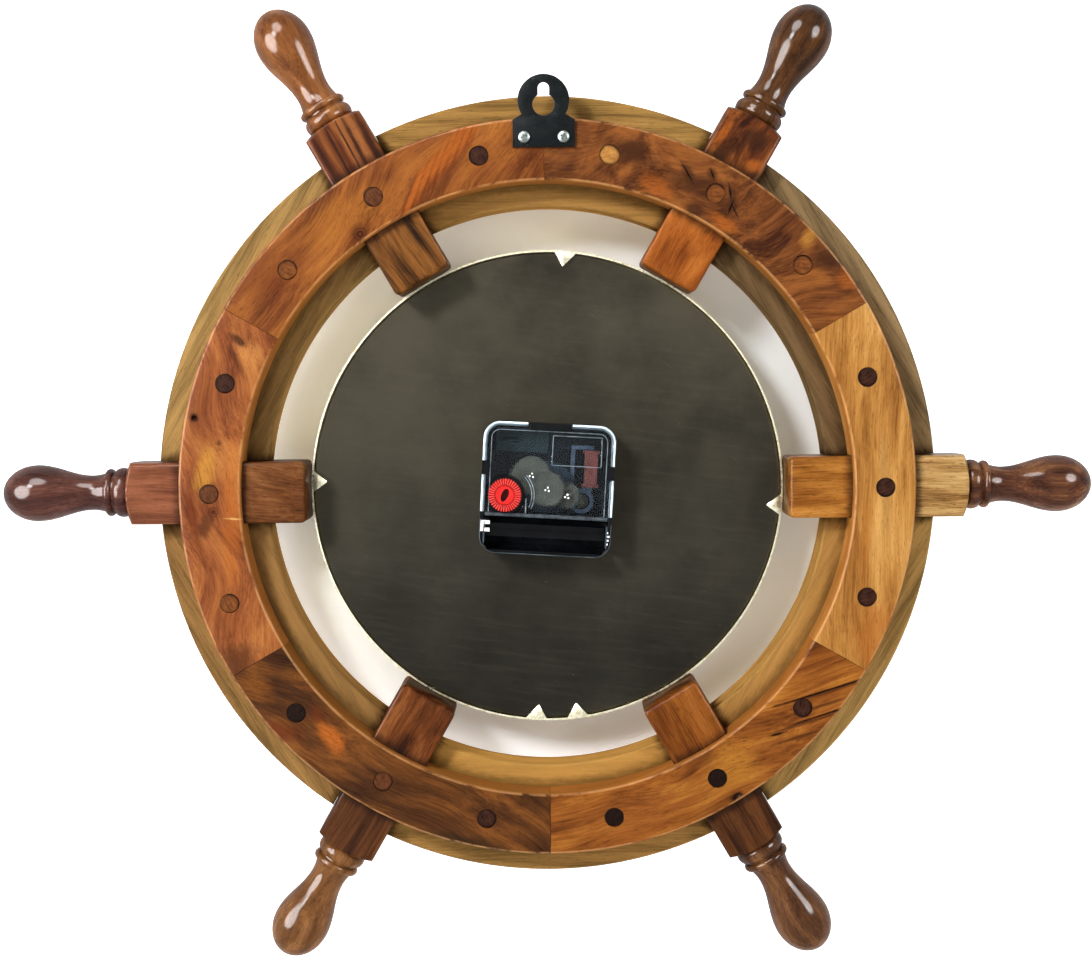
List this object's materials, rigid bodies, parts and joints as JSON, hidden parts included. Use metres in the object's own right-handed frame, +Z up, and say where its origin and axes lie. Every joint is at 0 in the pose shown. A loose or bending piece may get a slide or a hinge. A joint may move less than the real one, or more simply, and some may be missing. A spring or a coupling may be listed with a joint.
{
  "type": "ship wheel wall clock",
  "caption": "Wooden ship wheel wall clock: turned spokes through a double rim, a brass bezel pan with dial and hands, a quartz movement with its wheel train, and a keyhole hanger.",
  "frame": {"origin": "where the wall nail carries the top of the keyhole's slot, in the plane of the rear rim's back", "axes": "+Z up, +Y towards the wall, so the dial faces -Y; +X is to the right as seen from the dial side"},
  "size_m": [0.4572, 0.0476, 0.3986],
  "materials": {
    "rear_wood": "satin varnish on reddish hardwood",
    "front_wood": "satin varnish on paler hardwood",
    "spoke_wood": "gloss varnish on turned hardwood",
    "dowel_wood": "end grain under varnish",
    "black_enamel": "black enamel",
    "zinc": "zinc plated",
    "brass": "polished",
    "board_black": "dark stained fibre board",
    "dial_white": "white print",
    "spacer_white": "matt white",
    "clear_glass": "clear flat glass",
    "smoky_cover": "smoky clear moulding",
    "case_black": "black moulding",
    "wheel_plastic": "milky moulding",
    "knob_red": "red moulding",
    "steel": "bare sheet",
    "copper": "enamelled copper wire",
    "board_green": "solder resist",
    "hand_black": "black painted sheet"
  },
  "bodies": {
    "clock_body": {"rear_felloe_1": "rear_wood", "rear_felloe_2": "rear_wood", "rear_felloe_3": "rear_wood", "rear_felloe_4": "rear_wood", "rear_felloe_5": "rear_wood", "rear_felloe_6": "rear_wood", "front_felloe_1": "front_wood", "front_felloe_2": "front_wood", "front_felloe_3": "front_wood", "front_felloe_4": "front_wood", "front_felloe_5": "front_wood", "front_felloe_6": "front_wood", "spoke_1": "spoke_wood", "spoke_2": "spoke_wood", "spoke_3": "spoke_wood", "spoke_4": "spoke_wood", "spoke_5": "spoke_wood", "spoke_6": "spoke_wood", "spoke_dowel_1": "dowel_wood", "spoke_dowel_2": "dowel_wood", "spoke_dowel_3": "dowel_wood", "spoke_dowel_4": "dowel_wood", "spoke_dowel_5": "dowel_wood", "spoke_dowel_6": "dowel_wood", "bezel_pin_1": "zinc", "bezel_pin_2": "zinc", "bezel_pin_3": "zinc", "bezel_pin_4": "zinc", "bezel_pin_5": "zinc", "bezel_pin_6": "zinc", "hanger_plate": "black_enamel", "hanger_screw_1": "zinc", "hanger_screw_2": "zinc", "bezel": "brass", "dial_board": "board_black", "dial": "dial_white", "spacer_ring": "spacer_white", "glass": "clear_glass", "movement_base": "case_black", "movement_cover": "smoky_cover", "middle_plate": "case_black", "stator": "steel", "coil": "copper", "circuit_board": "board_green", "battery_contact_1": "steel", "battery_contact_2": "steel", "mounting_nut": "brass"},
    "minute_arbor": {"minute_hand": "hand_black", "cannon_pinion": "brass"},
    "hour_arbor": {"hour_hand": "hand_black", "hour_wheel": "wheel_plastic"},
    "minute_wheel_arbor": {"minute_wheel": "wheel_plastic"},
    "knob": {"setting_knob": "knob_red"},
    "second_arbor": {"second_hand": "hand_black", "second_wheel": "wheel_plastic"},
    "third_arbor": {"third_wheel": "wheel_plastic"},
    "centre_arbor": {"centre_wheel": "wheel_plastic"},
    "intermediate_arbor": {"intermediate_wheel": "wheel_plastic"},
    "rotor_arbor": {"rotor": "wheel_plastic"}
  },
  "joints": [
    {"name": "minute_hand_turn", "type": "hinge", "parent": "clock_body", "child": "minute_arbor", "pos_m": [0, 0, -0.1634], "axis": [0, 1, 0], "continuous": true},
    {"name": "hour_hand_turn", "type": "hinge", "parent": "clock_body", "child": "hour_arbor", "pos_m": [0, 0, -0.1634], "axis": [0, 1, 0], "continuous": true},
    {"name": "minute_wheel_turn", "type": "hinge", "parent": "clock_body", "child": "minute_wheel_arbor", "pos_m": [0.00893, 0, -0.15891], "axis": [0, 1, 0], "continuous": true},
    {"name": "setting_knob_turn", "type": "hinge", "parent": "clock_body", "child": "knob", "pos_m": [0.01767, 0, -0.16549], "axis": [0, 1, 0], "continuous": true},
    {"name": "second_hand_turn", "type": "hinge", "parent": "clock_body", "child": "second_arbor", "pos_m": [0, 0, -0.1634], "axis": [0, 1, 0], "continuous": true},
    {"name": "third_wheel_turn", "type": "hinge", "parent": "clock_body", "child": "third_arbor", "pos_m": [0.00645, 0, -0.15749], "axis": [0, 1, 0], "continuous": true},
    {"name": "centre_wheel_turn", "type": "hinge", "parent": "clock_body", "child": "centre_arbor", "pos_m": [0, 0, -0.1634], "axis": [0, 1, 0], "continuous": true},
    {"name": "intermediate_wheel_turn", "type": "hinge", "parent": "clock_body", "child": "intermediate_arbor", "pos_m": [-0.00813, 0, -0.16642], "axis": [0, 1, 0], "continuous": true},
    {"name": "rotor_turn", "type": "hinge", "parent": "clock_body", "child": "rotor_arbor", "pos_m": [-0.01429, 0, -0.1691], "axis": [0, 1, 0], "continuous": true}
  ],
  "couplings": [
    {"joint": "hour_hand_turn", "follows": "minute_hand_turn", "ratio": 0.083333},
    {"joint": "minute_wheel_turn", "follows": "minute_hand_turn", "ratio": -0.33333},
    {"joint": "setting_knob_turn", "follows": "minute_hand_turn", "ratio": 0.72727},
    {"joint": "third_wheel_turn", "follows": "second_hand_turn", "ratio": -0.1},
    {"joint": "centre_wheel_turn", "follows": "second_hand_turn", "ratio": 0.016667},
    {"joint": "intermediate_wheel_turn", "follows": "second_hand_turn", "ratio": -6},
    {"joint": "rotor_turn", "follows": "second_hand_turn", "ratio": 30}
  ]
}
